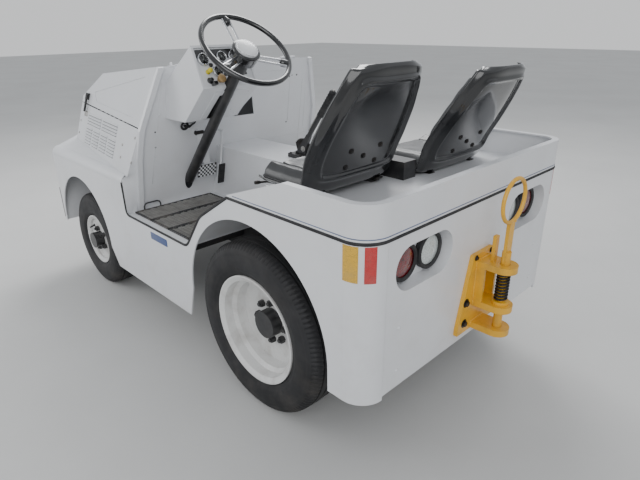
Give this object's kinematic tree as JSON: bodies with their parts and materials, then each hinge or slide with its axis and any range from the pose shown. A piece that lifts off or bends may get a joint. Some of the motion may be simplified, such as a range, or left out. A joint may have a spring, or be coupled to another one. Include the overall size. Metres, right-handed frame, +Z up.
{
  "type": "airport baggage tug",
  "caption": "Open airport baggage tug with bench deck, side-by-side bucket seats, hinged hood, steered front wheels and a rear pin hitch with a lift ring.",
  "frame": {"origin": "middle of the overall box, on the ground", "axes": "+X forward, +Y to the driver's side, +Z up"},
  "size_m": [2.655, 1.26, 1.481],
  "materials": {
    "white_paint": "gloss enamel, slightly worn",
    "rim_white": "gloss enamel",
    "yellow_paint": "gloss enamel, chipped at edges",
    "black_paint": "satin enamel",
    "frame_black": "dull chassis paint",
    "engine_grey": "rough cast",
    "bare_steel": "worn bare steel",
    "dark_steel": "oiled spring steel",
    "chrome": "polished",
    "clear_lens": "clear ribbed lens",
    "red_lens": "gloss",
    "black_rubber": "matte",
    "mat_rubber": "ribbed, dusty",
    "tyre": "dull, dusty",
    "black_plastic": "gloss",
    "black_vinyl": "grained vinyl"
  },
  "bodies": {
    "chassis": {"frame_rails": "frame_black", "side_left": "white_paint", "side_right": "white_paint", "rear_panel": "white_paint", "coaming": "white_paint", "deck": "white_paint", "floor_pan": "white_paint", "floor_mat": "mat_rubber", "cowl": "white_paint", "hood_hinge_pins": "white_paint", "tunnel_cover": "white_paint", "fenders": "white_paint", "hood_sides": "white_paint", "grille": "white_paint", "front_panel": "white_paint", "front_bumper": "frame_black", "head_bezels": "chrome", "clear_lamps": "clear_lens", "tail_lamps": "red_lens", "lamp_grommets": "black_rubber", "dash_box": "white_paint", "gauges": "chrome", "steering_column": "black_paint", "pedals": "bare_steel", "parking_brake": "black_paint", "seat_shells": "black_plastic", "seat_cushions": "black_vinyl", "seat_frames": "black_paint", "hitch_bracket": "yellow_paint", "hitch_spring": "dark_steel", "engine_block": "engine_grey", "rear_axle": "frame_black", "front_axle": "frame_black", "leaf_springs": "frame_black"},
    "hood": {"hood_lid": "white_paint", "hood_latches": "black_rubber"},
    "steering_wheel": {"steering_rim": "black_plastic", "steering_spokes": "chrome"},
    "hitch_pin": {"hitch_pin": "yellow_paint"},
    "knuckle_left": {"knuckle_left": "frame_black"},
    "knuckle_right": {"knuckle_right": "frame_black"},
    "tie_rod": {"tie_rod": "frame_black"},
    "wheel_rear_left": {"rear_left_tyre": "tyre", "rear_left_rim": "rim_white", "rear_left_hub": "black_paint"},
    "wheel_rear_right": {"rear_right_tyre": "tyre", "rear_right_rim": "rim_white", "rear_right_hub": "black_paint"},
    "wheel_front_left": {"front_left_tyre": "tyre", "front_left_rim": "rim_white", "front_left_hub": "black_paint"},
    "wheel_front_right": {"front_right_tyre": "tyre", "front_right_rim": "rim_white", "front_right_hub": "black_paint"}
  },
  "joints": [
    {"name": "rear_left_spin", "type": "hinge", "parent": "chassis", "child": "wheel_rear_left", "pos_m": [-0.6025, 0.524, 0.353], "axis": [0, 1, 0], "continuous": true},
    {"name": "rear_right_spin", "type": "hinge", "parent": "chassis", "child": "wheel_rear_right", "pos_m": [-0.6025, -0.524, 0.353], "axis": [0, 1, 0], "continuous": true},
    {"name": "front_left_spin", "type": "hinge", "parent": "knuckle_left", "child": "wheel_front_left", "pos_m": [0.9395, 0.512, 0.275], "axis": [0, 1, 0], "continuous": true},
    {"name": "front_right_spin", "type": "hinge", "parent": "knuckle_right", "child": "wheel_front_right", "pos_m": [0.9395, -0.512, 0.275], "axis": [0, 1, 0], "continuous": true},
    {"name": "steer_left", "type": "hinge", "parent": "chassis", "child": "knuckle_left", "pos_m": [0.9395, 0.47, 0.275], "axis": [0, 0, 1], "range_deg": [-30, 30]},
    {"name": "steer_right", "type": "hinge", "parent": "chassis", "child": "knuckle_right", "pos_m": [0.9395, -0.47, 0.275], "axis": [0, 0, 1], "range_deg": [-31, 31]},
    {"name": "tie_rod_swing", "type": "hinge", "parent": "knuckle_left", "child": "tie_rod", "pos_m": [0.7895, 0.405, 0.2087], "axis": [0, 0, 1], "range_deg": [-36, 36]},
    {"name": "steering_turn", "type": "hinge", "parent": "chassis", "child": "steering_wheel", "pos_m": [-0.2265, 0.277, 1.348], "axis": [-0.6561, 0, 0.7547], "range_deg": [-365, 365]},
    {"name": "hood_open", "type": "hinge", "parent": "chassis", "child": "hood", "pos_m": [0.1915, 0, 1.2773], "axis": [0, -1, 0], "range_deg": [0, 60]},
    {"name": "hitch_pin_lift", "type": "slide", "parent": "chassis", "child": "hitch_pin", "axis": [0, 0, 1], "range_m": [0, 0.1], "deforming": ["hitch_spring"]}
  ],
  "couplings": [
    {"joint": "steer_right", "follows": "steer_left", "ratio": 1},
    {"joint": "tie_rod_swing", "follows": "steer_left", "ratio": -1.15},
    {"joint": "steering_turn", "follows": "steer_left", "ratio": 12}
  ]
}
